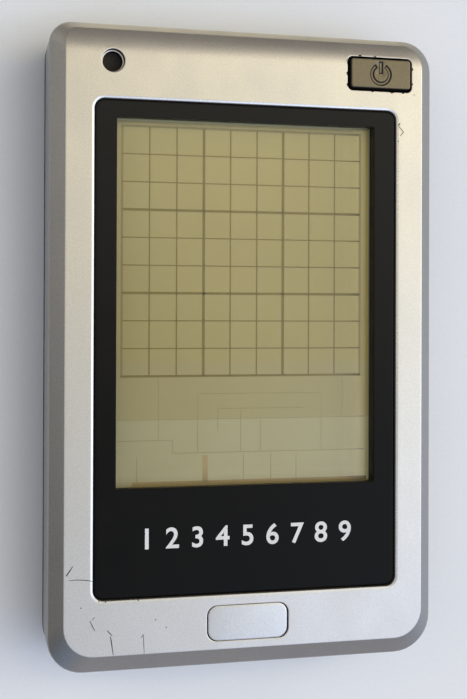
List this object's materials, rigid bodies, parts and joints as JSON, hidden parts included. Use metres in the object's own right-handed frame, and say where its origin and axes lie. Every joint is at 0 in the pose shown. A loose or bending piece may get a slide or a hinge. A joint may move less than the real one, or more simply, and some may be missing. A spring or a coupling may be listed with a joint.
{
  "type": "electronic sudoku game",
  "caption": "Handheld touch-screen number-puzzle game: bevelled silver case, black bezel round a recessed grid display, power key, front button, sliding battery door and a stylus.",
  "frame": {"origin": "middle of the outline on the flat rear face, with the case lying on its back", "axes": "+X across the case towards the power button's side, +Y along it towards the power button's end, +Z out of the screen"},
  "size_m": [0.078, 0.125, 0.0187],
  "materials": {
    "silver_paint": "silver metallic paint, satin",
    "silver_key": "silver metallic paint, satin",
    "charcoal_plastic": "fine moulded grain",
    "black_plastic": "satin, fine grain",
    "foam": "closed-cell foam",
    "touch_glass": "clear, polished",
    "display_glass": "olive reflective display",
    "tape": "adhesive tape",
    "flat_cable": "polyimide film",
    "holder_plastic": "moulded",
    "zebra_rubber": "layered conductive rubber",
    "board": "solder mask",
    "resin": "cured resin",
    "sleeve": "shrink sleeve",
    "key_silicone": "silicone, matt",
    "carbon": "conductive rubber",
    "cell_jacket": "printed metal jacket",
    "nickel_steel": "nickel plated",
    "stylus_plastic": "moulded"
  },
  "bodies": {
    "case": {"front_cover": "silver_paint", "rear_cover": "charcoal_plastic", "screen_bezel": "black_plastic", "screen_gasket": "foam", "touch_panel": "touch_glass", "panel_tape": "tape", "touch_tail": "flat_cable", "lcd_panel": "display_glass", "lcd_holder": "holder_plastic", "zebra_strip": "zebra_rubber", "main_board": "board", "controller_chip": "resin", "crystal": "nickel_steel", "capacitor": "sleeve", "buzzer": "black_plastic", "power_key_mat": "key_silicone", "front_key_mat": "key_silicone", "key_board": "board", "key_ribbon": "flat_cable", "upper_battery": "cell_jacket", "lower_battery": "cell_jacket", "plus_contact": "nickel_steel", "minus_contact": "nickel_steel", "bridge_contact": "nickel_steel", "case_screws": "nickel_steel", "board_screws": "nickel_steel"},
    "power_key": {"power_button": "key_silicone", "power_key_pill": "carbon"},
    "front_key": {"front_button": "silver_key", "front_key_pill": "carbon"},
    "door": {"battery_door": "charcoal_plastic"},
    "pen": {"stylus": "stylus_plastic"}
  },
  "joints": [
    {"name": "power_press", "type": "slide", "parent": "case", "child": "power_key", "axis": [0, 0, -1], "range_m": [0, 0.0008], "stiffness_N_per_m": 1500, "deforming": ["power_key_mat"]},
    {"name": "front_press", "type": "slide", "parent": "case", "child": "front_key", "axis": [0, 0, -1], "range_m": [0, 0.0008], "stiffness_N_per_m": 1500, "deforming": ["front_key_mat"]},
    {"name": "door_slide", "type": "slide", "parent": "case", "child": "door", "axis": [0, -1, 0], "range_m": [0, 0.034]},
    {"name": "stylus_draw", "type": "slide", "parent": "case", "child": "pen", "axis": [0, 1, 0], "range_m": [0, 0.095]}
  ]
}
